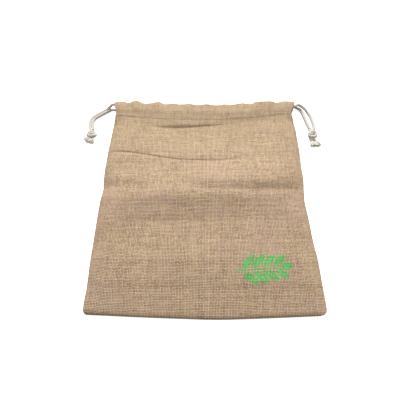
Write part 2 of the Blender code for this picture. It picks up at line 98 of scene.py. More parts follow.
# Stations across the bag for the tables of folds
STATIONS = (-150.0, -95.0, -40.0, 15.0, 80.0, 150.0)
OUTLINE = (  # (up, half-width on the left, half-width on the right)
    (-2.0, 151.3, 151.6), (18.0, 151.3, 151.6), (40.0, 150.4, 151.0),
    (75.0, 151.0, 150.2), (110.0, 150.5, 147.2), (135.0, 150.2, 146.3),
    (158.0, 149.7, 144.6), (172.0, 148.9, 143.6), (187.0, 146.9, 144.9),
    (209.0, 148.5, 146.8), (225.0, 148.5, 146.1), (256.0, 148.4, 147.5),
    (290.0, 146.5, 147.2), (306.0, 145.8, 146.7), (320.0, 143.0, 143.8),
    (331.0, 141.6, 141.4), (338.0, 143.0, 143.2), (346.0, 146.2, 146.8),
    (352.0, 146.8, 148.8), (358.0, 142.5, 145.2),
)
FOLDS = (  # (name, up at each station, height at each station)
    ("foot", (29, 29, 29, 29, 29, 29), (9.2, 9.6, 9.8, 9.8, 9.6, 9.0)),
    ("belly", (82, 82, 84, 84, 82, 82), (12.4, 13.2, 14.2, 14.6, 13.6, 12.8)),
    ("hollow", (118, 120, 124, 126, 128, 124), (14.2, 14.0, 14.2, 14.8, 14.7, 14.4)),
    ("slope", (142, 146, 150, 150, 152, 150), (16.4, 17.4, 18.7, 18.9, 17.2, 15.0)),
    ("near_ridge", (164, 168, 173, 172, 173, 172), (17.2, 20.0, 23.2, 22.9, 19.9, 14.2)),
    ("valley", (187, 186, 185, 178.5, 180, 183.5), (15.0, 18.6, 22.1, 22.5, 19.5, 13.0)),
    ("valley_edge", (191, 190, 189, 182.5, 184, 187.5), (15.2, 18.7, 21.5, 23.1, 20.9, 13.9)),
    ("far_ridge_foot", (202, 198, 196, 191.5, 194, 205.5), (16.2, 18.9, 20.3, 23.9, 22.9, 16.4)),
    ("far_ridge", (226, 225, 222, 222, 228, 230), (15.8, 15.9, 16.8, 19.4, 19.2, 15.8)),
    ("long_crease_near", (248.5, 241.5, 231, 227.5, 236, 240), (15.7, 15.1, 15.9, 18.3, 17.8, 15.2)),
    ("long_crease", (254, 246.3, 236, 232.2, 240, 244), (14.9, 14.4, 15.1, 17.3, 17.3, 15.0)),
    ("long_crease_far", (256, 248.3, 238, 234, 243, 247), (15.7, 15.3, 15.9, 17.8, 17.0, 14.9)),
    ("yoke", (281, 279, 277, 277, 278, 281), (15.0, 14.4, 13.7, 14.4, 14.4, 14.4)),
    ("short_crease_near", (293, 294, 297, 299.5, 301, 300), (14.6, 14.1, 13.5, 14.0, 14.5, 14.2)),
    ("short_crease", (297.5, 299, 300.8, 303.6, 306, 305), (14.5, 14.1, 12.9, 13.9, 14.5, 14.1)),
    ("short_crease_far", (302, 303, 302.0, 304.8, 311, 310), (14.5, 14.2, 15.0, 14.5, 14.6, 14.0)),
)
BOTTOM_EDGE = (5.0, 2.4, 0.4, -1.0, 0.8, 3.7)
FRONT_STITCHES = (327.0, 318.5, 315.0, 315.0, 319.5, 330.0)
FRONT_MOUTH = (356.4, 351.3, 348.3, 346.4, 349.8, 356.8)
BACK_MOUTH = (361.0, 357.5, 354.5, 354.0, 357.0, 361.0)
PUCKERS = (  # (side, how far the mouth edge stands out)
    (-137.7, 1.0), (-124.5, -4.0), (-114.4, 3.9), (-97.2, -4.3),
    (-76.0, 2.9), (-62.4, -2.6), (-49.3, 0.9), (-39.3, -1.1),
    (-24.5, 1.3), (-11.2, -1.5), (3.6, 1.5), (20.9, -1.5),
    (35.0, 0.8), (44.8, -1.0), (64.8, 1.4), (77.8, -3.0),
    (88.2, 3.2), (111.4, 2.4), (119.3, -3.1), (136.6, 1.4),
)
PUCKER_END = 152.0
PUCKER_PLAN = 0.5  # share of a pucker seen from above, the rest is height
PUCKER_FADE = (9.0, 25.0)  # where they die out, back from the mouth

# Free ends of the cords, as in the model: (side, up, height)
STRAND_APART = 4.3
LEFT_FRONT_DROP = ((-155.4, 351.2, 6.4), (-160.0, 348.7, 3.2))
LEFT_BACK_DROP = ((-152.8, 347.6, 3.0), (-156.8, 346.6, 2.2))
LEFT_ROUTE = (
    (-164.6, 343.3, 2.0), (-170.5, 338.8, 2.0), (-176.4, 334.2, 2.0),
    (-180.6, 329.2, 2.0), (-182.6, 323.0, 2.0), (-182.2, 316.0, 2.0),
    (-181.2, 309.0, 2.2), (-180.0, 302.5, 2.8), (-179.0, 296.5, 3.8),
)
RIGHT_FRONT_DROP = ((155.4, 352.6, 9.6), (161.6, 351.7, 6.6))
RIGHT_BACK_DROP = ((154.6, 352.6, 2.6), (159.4, 349.0, 2.0))
RIGHT_INNER_ROUTE = (
    (162.3, 342.0, 2.0), (164.0, 334.0, 2.0), (165.6, 326.2, 2.0),
    (167.3, 318.4, 2.0), (169.2, 310.2, 2.2), (170.6, 303.6, 2.8),
    (171.4, 297.5, 3.8),
)
RIGHT_OUTER_ROUTE = (
    (167.4, 348.4, 3.8), (171.8, 342.4, 2.2), (174.7, 334.0, 2.0),
    (176.4, 325.4, 2.0), (177.4, 317.0, 2.0), (177.4, 309.4, 2.1),
    (176.2, 303.0, 2.8), (174.8, 297.0, 3.8),
)
# Knots: place, turn in degrees, and size of the loose loop
KNOT_LEFT = {"side": -178.4, "up": 294.4, "turn": -10.0, "long": 15.0, "wide": 12.5}
KNOT_RIGHT = {"side": 172.2, "up": 294.4, "turn": 12.0, "long": 16.5, "wide": 13.5}
LEFT_TIED = 47.0  # length that each strand is drawn to, tail included
RIGHT_TIED = 54.0
LEFT_TAILS = (
    ((-180.6, 291.0, 4.4), (-183.4, 286.6, 3.4), (-187.8, 281.4, 2.6)),
    ((-178.0, 290.0, 4.4), (-178.0, 284.0, 3.4), (-179.6, 276.8, 2.6)),
)
RIGHT_TAILS = (
    ((174.6, 290.0, 4.4), (176.2, 280.5, 3.6), (178.0, 270.2, 2.8)),
    ((170.2, 290.0, 4.4), (169.9, 280.5, 3.6), (171.8, 269.6, 2.8)),
)

# ---------- finer sizes of the looks

# Grids of the panels
COLUMN_PITCH = 1.7
ROW_PITCH = 1.75
EDGE_COLUMNS = (0.0, 0.5, 1.2, 2.1, 3.2, 4.6, 6.3, 8.3)  # distances in from a side seam
SEAM_CROWDING = 1.6  # of the rows at the bottom seam
BACK_ROWS = 100
BACK_CROWDING = 1.1
CASING_START = 26.0  # from the mouth to the casing's own rows
CASING_PITCH = 1.3
BEND_POINTS = 10
TURNED_START = 2.0  # from the fold to the turned-in layer's rows
TURNED_PITCH = 2.4
ROW_MARGIN = 0.2  # for the last row in a stretch of these
# Weave and sewing
WARP_PITCH = 1.875  # yarns that run from the bottom to the mouth
WEFT_PITCH = 1.967
STITCH = 5.2  # from one stitch to the next
STITCH_TOP = 3.6  # how much of that lies on top of the cloth
STITCH_ARCH = 1.6  # rise of a stitch in radii of its thread
THREAD = 0.42  # radius of the sewing thread
THREAD_SIDES = 8
SEWING_STEP = 0.5
FRONT_SEWN_ROWS = slice(100, -40)  # rows with the stitches among them
BACK_SEWN_ROWS = slice(60, 110)
# Cords
CURVE_STEPS = 20  # points between two of a route's own
ROPE_STEP = 0.6
ROPE_SIDES = 24
ROPE_LAY = 12.5  # length of one turn of the plies
PLIES = 3
PLY_ROUND = 0.6  # the less, the narrower the grooves between the plies
GROOVE = 0.95  # radius in a groove, as a share of half the cord's width
PLY_RISE = 0.17  # what a ply adds to that
FREE_CORD = 4.5  # the soft cord's width out of the casing
FREE_AFTER = 10.0  # from the casing to that width
FREE_SINK = 0.1  # how far the surface presses it
# A knot is tied loosely and then drawn tight
KNOT_REACH = 2.02  # range of the loop's formula
KNOT_POINTS = 40
KNOT_OVER = 5.0  # rise and fall of the loop where it crosses itself
KNOT_STEP = 1.0
LEAD_POINTS = slice(-10, None, 3)  # points of a strand that lead into its loop
LOOP_POINTS = slice(2, -2, 3)  # points of the loop between those and the tail
KNOT_LEAD = 5  # points of a strand that stay in place before the knot
KNOT_HELD = 9  # and at the end of its tail
KNOT_SOFT = 2.9  # strands in the knot press together to this distance
KNOT_STIFF = 4  # nearer points along a strand don't press
KNOT_ROUNDS = 500
KNOT_DRAWN = 0.7  # share of the rounds in which the strands shorten
KNOT_EVEN = 0.3  # how strongly bends even out in a round
KNOT_PULL = 0.45  # how strongly lengths are kept
KNOT_PUSH = 0.25  # how strongly strands push each other away
KNOT_FALL = 0.02  # how far the strands sink in a round
# A cut tail opens into its yarns
FRAY = 13.0  # length of a frayed end
FRAY_OVERLAP = 4  # steps of the cord that the yarns start before it
FRAY_YARNS = 64
FRAY_CORE = 0.6  # share of the cord's width where they part
FRAY_SPREAD = 5.4  # how far out the outermost yarns end
FRAY_FLAT = 0.5  # height of the spread as a share of its width
FRAY_TURN = 0.5  # swing of a yarn round the tail, in radians
FRAY_TURNS = 3.0  # how fast it does
FRAY_WAVE = 0.25  # its waves up and down
FRAY_WAVES = 9.0
FRAY_SHORT = 0.18  # the shortest yarns end this share early
YARN = 0.7  # radius of one yarn of a frayed end
YARN_SIDES = 6

# ---------- curves and tables


def smooth_through(xs, ys, x):
    """A smooth curve through the points that never overshoots between two of them."""
    xs, ys = np.asarray(xs, float), np.asarray(ys, float)
    widths = np.diff(xs)
    slopes = np.diff(ys) / widths
    before, after = slopes[:-1], slopes[1:]
    w1 = 2 * widths[1:] + widths[:-1]
    w2 = widths[1:] + 2 * widths[:-1]
    same = before * after > 0
    inner = (w1 + w2) / (w1 / np.where(same, before, 1) + w2 / np.where(same, after, 1))
    tangents = np.concatenate([slopes[:1], np.where(same, inner, 0), slopes[-1:]])
    x = np.clip(x, xs[0], xs[-1])
    i = np.clip(np.searchsorted(xs, x, side="right") - 1, 0, len(xs) - 2)
    w = widths[i]
    u = (x - xs[i]) / w
    from_left = (1 + 2 * u) * (1 - u) ** 2 * ys[i] + u * (1 - u) ** 2 * w * tangents[i]
    from_right = u * u * (3 - 2 * u) * ys[i + 1] + u * u * (u - 1) * w * tangents[i + 1]
    return from_left + from_right


def smoothstep(low, high, x):
    u = np.clip((x - low) / (high - low), 0, 1)
    return u * u * (3 - 2 * u)


def across(values, side):
    return smooth_through(STATIONS, values, side)


def roll(distance, reach):
    """Rise of the cloth from a seam, 0 at the seam and 1 at its reach."""
    return (1 - (1 - np.clip(distance / reach, 0, 1)) ** 3) ** ROLL_BEND


def bottom_roll(distance):
    """Rise of the cloth from the bottom seam: a short bend, then an even slope."""
    slope = np.clip(distance / BOTTOM_ROLL, 0, 1)
    return BOTTOM_BEND_SHARE * roll(distance, BOTTOM_BEND) + (1 - BOTTOM_BEND_SHARE) * slope


def half_width(up, share):
    """Half-width of the bag at this height, with the rounded bottom corners."""
    ups, left, right = zip(*OUTLINE)
    width = smooth_through(ups, left if share < 0 else right, up)
    depth = np.clip(CORNER_RADIUS - (up - CORNER_UP), 0, CORNER_RADIUS)
    return width - (CORNER_RADIUS - np.sqrt(CORNER_RADIUS**2 - depth**2))


def mouth_side(share):
    return share * half_width(CASING_UP, share)


def casing_top(side):
    share = np.minimum(1, np.abs(side) / CASING_DROP_SIDE)
    return CASING_TOP - CASING_DROP * share**CASING_DROP_BEND


def bottom_edge(share):
    return across(BOTTOM_EDGE, share * HALF_WIDTH)


def pucker(side):
    sides = [-PUCKER_END, *(row[0] for row in PUCKERS), PUCKER_END]
    return smooth_through(sides, [0.0, *(row[1] for row in PUCKERS), 0.0], side)


def seam_lift(side_gap, up):
    lift = sum(height * np.exp(-(((up - at) / spread) ** 2)) for at, spread, height in SEAM_LIFTS)
    return lift * (1 - smoothstep(0, SEAM_LIFT_REACH, side_gap))


# ---------- the panels


def column_shares():
    """Places of the columns, from -1 to 1, closer together at the side seams."""
    edge = np.array(EDGE_COLUMNS) / HALF_WIDTH
    inner = 1 - edge[-1] - COLUMN_PITCH / HALF_WIDTH
    count = round(2 * inner * HALF_WIDTH / COLUMN_PITCH) + 1
    return np.concatenate([edge - 1, np.linspace(-inner, inner, count), (1 - edge)[::-1]])


def fold_lines(share):
    """(up, height) of the front panel's fold lines in this column, seam and stitches included."""
    side = share * HALF_WIDTH
    ups = [bottom_edge(share)] + [across(row[1], side) for row in FOLDS]
    tops = [across(FOLDS[0][2], side)] + [across(row[2], side) for row in FOLDS]
    ups.append(across(FRONT_STITCHES, side))
    tops.append(casing_top(mouth_side(share)) - CASING_SINK)
    return np.array(ups), np.array(tops)


def row_levels(ups, middle_ups):
    """Heights of the rows in a column: as many between two fold lines in each column."""
    levels = []
    for k in range(len(ups) - 1):
        count = max(2, round((middle_ups[k + 1] - middle_ups[k]) / ROW_PITCH))
        steps = np.arange(count) / count
        if k == 0:
            steps = steps**SEAM_CROWDING
        levels.append(ups[k] + (ups[k + 1] - ups[k]) * steps)
    return np.concatenate(levels)


def casing_section(crown, sink, facing):
    """Mid-cloth line of a casing: distance from the mouth, height, and 1 on the outer layer."""
    outer = crown - facing * CLOTH / 2
    edge = FOLD_RADIUS + CLOTH / 2
    back = np.arange(CASING_START, edge + ROW_MARGIN, -CASING_PITCH)
    out = np.stack([back, outer - sink * smoothstep(SINK_START, SINK_END, back), back * 0 + 1], 1)
    angle = np.linspace(0, math.pi, BEND_POINTS)
    inward = edge - FOLD_RADIUS * np.sin(angle)
    height = outer - facing * FOLD_RADIUS * (1 - np.cos(angle))
    bend = np.stack([inward, height, 1 - angle / math.pi], 1)
    back = np.arange(edge + TURNED_START, HEM_DEPTH + ROW_MARGIN, TURNED_PITCH)
    between = 2 * FOLD_RADIUS + (CLOTH + LAYER_GAP - 2 * FOLD_RADIUS) * smoothstep(*HEM_CLOSE, back)
    sunk = outer - sink * smoothstep(SINK_START, SINK_END, back)
    turned = np.stack([back, sunk - facing * between, back * 0], 1)
    return np.concatenate([out, bend, turned])


def casing_rows(share, mouth, crown, sink, facing):
    side = mouth_side(share)
    stand_out = pucker(side)
    back, height, on_outer = casing_section(crown, sink, facing).T
    fade = 1 - smoothstep(*PUCKER_FADE, back)
    if facing > 0:
        height = height + (1 - PUCKER_PLAN) * max(0.0, stand_out) * fade * np.clip(2 * on_outer, 0, 1)
    up = across(mouth, side) - back + PUCKER_PLAN * stand_out * fade
    width = half_width(up, share)
    width = width + (TURNED_HALF_WIDTH - width) * (1 - on_outer)
    return np.stack([share * width, up, height], 1)


def front_column(share, middle_ups):
    ups, tops = fold_lines(share)
    up = row_levels(ups, middle_ups)
    width = half_width(up, share)
    side = share * width
    side_gap = width - np.abs(side)
    closed = roll(side_gap, SIDE_ROLL) * bottom_roll(up - ups[0])
    closed = closed + (1 - closed) * smoothstep(ups[-1] - SIDE_OPENING, ups[-1], up)
    lift = seam_lift(side_gap, up)
    top = SEAM_TOP + lift * (1 - closed) + (smooth_through(ups, tops, up) - SEAM_TOP) * closed
    body = np.stack([side, up, top - CLOTH / 2], 1)
    crown = casing_top(mouth_side(share))
    return np.concatenate([body, casing_rows(share, FRONT_MOUTH, crown, CASING_SINK, 1)])


def back_column(share):
    start = bottom_edge(share)
    end = across(BACK_MOUTH, mouth_side(share)) - HEM_DEPTH
    up = start + (end - start) * np.linspace(0, 1, BACK_ROWS) ** BACK_CROWDING
    width = half_width(up, share)
    lift = BACK_LIFT * seam_lift(width - np.abs(share * width), up)
    body = np.stack([share * width, up, CLOTH / 2 + lift], 1)
    return np.concatenate([body, casing_rows(share, BACK_MOUTH, 0.0, 0.0, -1)])


def cloth_coordinates(grid):
    """Where each grid point lies on the flat cloth: millimetres across and up."""
    steps = np.linalg.norm(np.diff(grid, axis=1), axis=2)
    right = np.concatenate([np.zeros((len(grid), 1)), np.cumsum(steps, 1)], 1)
    right -= right[:, [grid.shape[1] // 2]]
    climbs = np.linalg.norm(np.diff(grid, axis=0), axis=2)
    above = np.concatenate([np.zeros((1, grid.shape[1])), np.cumsum(climbs, 0)], 0)
    return np.stack([right, above, np.zeros_like(right)], 2)


def in_frame(points):
    """Points in the tables' millimetres as metres in the model's frame."""
    return (points - (0, BAG_LENGTH / 2, 0)) * MM


def add_object(name, data):
    obj = bpy.data.objects.new(name, data)
    bpy.context.scene.collection.objects.link(obj)
    return obj


def add_mesh(name, points, faces, mat):
    mesh = bpy.data.meshes.new(name)
    mesh.from_pydata(in_frame(points).tolist(), [], faces)
    mesh.shade_smooth()
    mesh.materials.append(mat)
    return add_object(name, mesh)


def add_values(obj, name, values, kind="FLOAT_VECTOR", field="vector"):
    """Values at the mesh's points, for its material to read."""
    made = obj.data.attributes.new(name, kind, "POINT")
    made.data.foreach_set(field, values.astype(np.float32).ravel())


def sheet_object(name, grid, stitches, mat, flip=False):
    """A grid of mid-cloth points with the cloth's thickness, its place on the flat cloth and
    its distance up from the line of stitches."""
    rows, cols = grid.shape[:2]
    index = np.arange(rows * cols).reshape(rows, cols)
    corners = [index[:-1, :-1], index[:-1, 1:], index[1:, 1:], index[1:, :-1]]
    quads = np.stack(corners, 2).reshape(-1, 4)
    if flip:
        quads = quads[:, ::-1]
    obj = add_mesh(name, grid.reshape(-1, 3), quads.tolist(), mat)
    add_values(obj, "cloth", cloth_coordinates(grid))
    add_values(obj, "seam", grid[:, :, 1] - stitches, "FLOAT", "value")
    skin = obj.modifiers.new("cloth", "SOLIDIFY")
    skin.thickness = CLOTH * MM
    skin.offset = 0.0
    return obj


def surface_line(grid, rows, ups, facing):
    """The line on a panel's outer face where its columns reach these heights."""
    line = []
    for column, up in enumerate(ups):
        side, at, height = grid[rows, column].T
        line.append((np.interp(up, at, side), up, np.interp(up, at, height) + facing * CLOTH / 2))
    return even_points(np.array(line), SEWING_STEP)


def stitch_meshes(line, facing):
    """Sewing stitches along a line on the cloth, sunk into it at both ends."""
    meshes = []
    count = round(STITCH / SEWING_STEP)
    for start in range(count, len(line) - count, count):
        path = line[start : start + round(STITCH_TOP / SEWING_STEP) + 1].copy()
        arch = np.sin(np.linspace(0, math.pi, len(path)))
        path[:, 2] += facing * (arch * STITCH_ARCH * THREAD - THREAD)
        coords = np.stack([path[:, 0], 0 * arch, 1 + 0 * arch], 1)[:, None]
        meshes.append(tube_mesh(path, THREAD_SIDES, THREAD, coords))
    return meshes


# ---------- the cords


def spline_points(route, spacing):
    """Evenly spaced points on a smooth curve through the route's own points."""
    pts = np.asarray(route, float)
    pts = np.concatenate([[2 * pts[0] - pts[1]], pts, [2 * pts[-1] - pts[-2]]])
    u = np.linspace(0, 1, CURVE_STEPS, endpoint=False)[:, None]
    fine = []
    for p0, p1, p2, p3 in zip(pts, pts[1:], pts[2:], pts[3:]):
        bend = (2 * p0 - 5 * p1 + 4 * p2 - p3) * u**2 + (3 * p1 - p0 - 3 * p2 + p3) * u**3
        fine.append(0.5 * (2 * p1 + (p2 - p0) * u + bend))
    return even_points(np.concatenate([*fine, pts[-2:-1]]), spacing)


def even_points(points, spacing):
    """The same line with its points an even distance apart."""
    lengths = lengths_along(points)
    want = np.linspace(0, lengths[-1], max(2, round(lengths[-1] / spacing)) + 1)
    return np.stack([np.interp(want, lengths, points[:, k]) for k in range(3)], 1)


def channel(panel, line, side):
    """A point of a cord in a casing: panel is front or back, line is upper or lower."""
    mouth = FRONT_MOUTH if panel == "front" else BACK_MOUTH
    up = across(mouth, side) - CORD_SETBACK[panel, line]
    if panel == "front":
        up += EXIT_RISE[line] * smoothstep(*EXIT_RISE_SPAN, abs(side))
    from_face = CLOTH + CHANNEL_ROOM / 2 + CORD / 2
    height = casing_top(side) - from_face if panel == "front" else from_face
    return np.array([side, up, height])


def casing_run(start_side, front_line):
    """Route of a drawcord inside the casings: through the front one and back."""
    back_line = "lower" if front_line == "upper" else "upper"
    turn = -math.copysign(CROSSING, start_side)
    sides = np.linspace(start_side, turn, RUN_STEPS + 1)
    turn_in = channel("front", front_line, turn)
    turn_out = channel("back", back_line, turn)
    middle = (turn_in + turn_out) / 2
    arm = turn_in - middle
    outward = np.array([math.copysign(np.linalg.norm(arm), turn), 0, 0])
    angles = np.linspace(0, math.pi, CROSSING_STEPS + 1)[1:-1, None]
    bend = middle + arm * np.cos(angles) + outward * np.sin(angles)
    front = [channel("front", front_line, side) for side in sides]
    back = [channel("back", back_line, side) for side in sides[::-1]]
    return np.concatenate([front, bend, back])


def directions(path):
    along = np.gradient(path, axis=0)
    return along / np.linalg.norm(along, axis=1)[:, None]


def beside(route, shift):
    """The route moved sideways on the surface, + to the left of its way."""
    route = np.asarray(route, float)
    along = directions(route)
    return route + np.stack([-along[:, 1], along[:, 0], 0 * along[:, 0]], 1) * shift


def strand_route(panel, line, sign, drop, route):
    """A strand from the casing's end, down to the surface and along to the knot."""
    end_of_run = channel(panel, line, sign * RUN_END)
    step = (RUN_END + CROSSING) / RUN_STEPS
    outward = end_of_run - channel(panel, line, sign * (RUN_END - step))
    outward /= np.linalg.norm(outward)
    return np.concatenate([[end_of_run, end_of_run + outward * EXIT_LENGTH], drop, route])


def ring_frames(path):
    """Two directions across the path at each of its points, without twist between them."""
    along = directions(path)
    first = np.cross(along[0], (0.0, 0.0, 1.0) if abs(along[0][2]) < 0.9 else (1.0, 0.0, 0.0))
    across_path = [first / np.linalg.norm(first)]
    for tangent in along[1:]:
        side = across_path[-1] - tangent * np.dot(across_path[-1], tangent)
        across_path.append(side / np.linalg.norm(side))
    across_path = np.array(across_path)
    return across_path, np.cross(along, across_path)


def lengths_along(path):
    return np.concatenate([[0], np.cumsum(np.linalg.norm(np.diff(path, axis=0), axis=1))])


def ring_angles(sides):
    return np.linspace(0, 2 * math.pi, sides, endpoint=False)


def tube_mesh(path, sides, radius, coords, part=slice(None)):
    """Points, faces and cord coordinates of a tube along a path, or of a part of it."""
    side, over = ring_frames(path)
    angle = ring_angles(sides)
    rings = (
        path[:, None]
        + side[:, None] * (radius * np.cos(angle))[..., None]
        + over[:, None] * (radius * np.sin(angle))[..., None]
    )
    coords = np.broadcast_to(coords, rings.shape)[part]
    rings = rings[part]
    index = np.arange(len(rings) * sides).reshape(-1, sides)
    nxt = np.roll(index, -1, axis=1)
    faces = np.stack([index[:-1], nxt[:-1], nxt[1:], index[1:]], 2).reshape(-1, 4).tolist()
    faces += [index[0][::-1].tolist(), index[-1].tolist()]
    return rings.reshape(-1, 3), faces, coords.reshape(-1, 3)


def rope_mesh(path, part=slice(None), free=False):
    """A twisted cord along a path, or a part of one. A free one grows to its full width."""
    along = lengths_along(path)[:, None]
    width = CORD + (FREE_CORD - CORD) * smoothstep(0, FREE_AFTER, along) * free
    ply = PLIES * (ring_angles(ROPE_SIDES) - 2 * math.pi * along / ROPE_LAY)
    bulge = ((1 + np.cos(ply)) / 2) ** PLY_ROUND
    radius = width / 2 * (GROOVE + PLY_RISE * bulge)
    coords = np.stack([np.broadcast_to(along, ply.shape), ply, bulge], 2)
    return tube_mesh(path, ROPE_SIDES, radius, coords, part)


def frayed_end(path, random):
    """The yarns of a cut tail, parting over the path's last stretch."""
    core = path[-round(FRAY / ROPE_STEP) - FRAY_OVERLAP :: 2]
    side, over = ring_frames(core)
    share = np.linspace(0, 1, len(core))
    start = FRAY_CORE * FREE_CORD / 2
    reach = start + (FRAY_SPREAD - start) * smoothstep(0, 0.9, share)
    meshes = []
    for _ in range(FRAY_YARNS):
        far = math.sqrt(random.random()) * reach
        turn, phase = random.random() * 2 * math.pi, random.random() * 6
        turn = turn + FRAY_TURN * np.sin(share * FRAY_TURNS + phase)
        line = core + side * (far * np.cos(turn))[:, None]
        line += over * (far * np.sin(turn) * FRAY_FLAT)[:, None]
        wave = FRAY_WAVE * np.sin(share * FRAY_WAVES + phase)
        line[:, 2] = np.maximum(line[:, 2] + wave, YARN)
        last = round(len(core) * (1 - FRAY_SHORT * random.random()))
        line, at = line[:last], share[:last]
        radius = YARN * (1 - 0.5 * at[:, None] ** 6)
        coords = np.stack([at * FRAY, at * 0 + phase, 1 + at], 1)[:, None]
        meshes.append(tube_mesh(line, YARN_SIDES, radius, coords))
    return meshes


# ---------- the knots


def knot_loop(size, offset):
    """One strand of a loose overhand knot, offset sideways from the middle of the pair. The line
    t^3 - 3t, t^4 - 4t^2, t^5 - 10t ties this knot, and the divisors bring it to its size."""
    t = np.linspace(KNOT_REACH, -KNOT_REACH, KNOT_POINTS)
    sideways = ((t**4 - 4 * t**2) / 4 + 0.5) * size["wide"]
    along = (t**3 - 3 * t) / 4.4 * size["long"]
    over = (t**5 - 10 * t) / 14 * KNOT_OVER
    line = beside(np.stack([sideways, along, over], 1), offset)
    turn = np.array(Matrix.Rotation(math.radians(size["turn"]), 3, "Z"))
    return line @ turn.T + (size["side"], size["up"], KNOT_OVER + CORD)


def draw_tight(strands, length):
    """Pull strands tight without letting them pass through each other or the surface."""
    sizes = [len(line) for line in strands]
    points = np.concatenate(strands)
    strand = np.repeat(np.arange(len(strands)), sizes)
    order = np.concatenate([np.arange(size) for size in sizes])
    held = (order < KNOT_LEAD) | (order >= np.array(sizes)[strand] - KNOT_HELD)
    apart = (strand[:, None] != strand) | (abs(order[:, None] - order) > KNOT_STIFF)
    joined = np.flatnonzero(strand[1:] == strand[:-1])
    inner = joined[1:][np.diff(joined) == 1]
    start = points.copy()
    first = np.array([lengths_along(line)[-1] / (len(line) - 1) for line in strands])
    final = length / (np.array(sizes) - 1)
    for n in range(KNOT_ROUNDS):
        rest = (first + (final - first) * min(1.0, n / (KNOT_DRAWN * KNOT_ROUNDS)))[strand[joined]]
        points[inner] += KNOT_EVEN * ((points[inner - 1] + points[inner + 1]) / 2 - points[inner])
        ahead = points[joined + 1] - points[joined]
        size = np.linalg.norm(ahead, axis=1)
        pull = ahead * ((size - rest) / size * KNOT_PULL)[:, None]
        np.add.at(points, joined, pull)
        np.add.at(points, joined + 1, -pull)
        between = points[:, None] - points
        gap = np.linalg.norm(between, axis=2) + 1e-9
        push = np.where(apart & (gap < KNOT_SOFT), (KNOT_SOFT - gap) / gap, 0)
        points += KNOT_PUSH * (between * push[..., None]).sum(1)
        points[:, 2] = np.maximum(points[:, 2] - KNOT_FALL, FREE_CORD / 2)
        points[held] = start[held]
    return [points[strand == k] for k in range(len(strands))]


def tied_pair(routes, size, shift, tails, length):
    """Two strands with a knot: the whole line of each, and where in it the knot starts.
    shift is how far to the left of the second strand the first one goes through the knot."""
    free, loose = [], []
    for k, (route, tail) in enumerate(zip(routes, tails)):
        line = spline_points(route, ROPE_STEP)
        line = line[: len(line) - round(2 * CORD / ROPE_STEP)]
        line[:, 2] = np.maximum(line[:, 2], FREE_CORD / 2 - FREE_SINK)
        loop = knot_loop(size, (0.5 - k) * shift)[LOOP_POINTS]
        loose.append(spline_points([*line[LEAD_POINTS], *loop, *tail[1:]], KNOT_STEP))
        free.append(line)
    whole = []
    for line, way in zip(free, draw_tight(loose, length)):
        rest = spline_points([line[-1], *way[KNOT_LEAD + 2 :: 2], way[-1]], ROPE_STEP)
        whole.append((np.concatenate([line, rest[1:]]), len(line)))
    return whole


def cord_object(name, meshes, mat):
    """One piece from the meshes of one or more cords."""
    points, faces, coords, base = [], [], [], 0
    for some_points, some_faces, some_coords in meshes:
        faces += [[base + i for i in face] for face in some_faces]
        base += len(some_points)
        points.append(some_points)
        coords.append(some_coords)
    obj = add_mesh(name, np.concatenate(points), faces, mat)
    add_values(obj, "cord", np.concatenate(coords))
    return obj


# ---------- materials

SPECULAR = 0.25  # the same dull shine for every material


def operator(operation, swapped=False):
    """A method of Field that adds the node for this operation."""

    def work_out(one, other):
        values = (other, one) if swapped else (one, other)
        return one.shade.math(operation, *values)

    return work_out


class Field:
    """A value in a node tree. Arithmetic with it adds the nodes that work it out."""

    def __init__(self, shade, out):
        self.shade, self.out = shade, out

    __add__ = __radd__ = operator("ADD")
    __sub__ = operator("SUBTRACT")
    __rsub__ = operator("SUBTRACT", swapped=True)
    __mul__ = __rmul__ = operator("MULTIPLY")
    __truediv__ = operator("DIVIDE")
    __pow__ = operator("POWER")
    __gt__ = operator("GREATER_THAN")


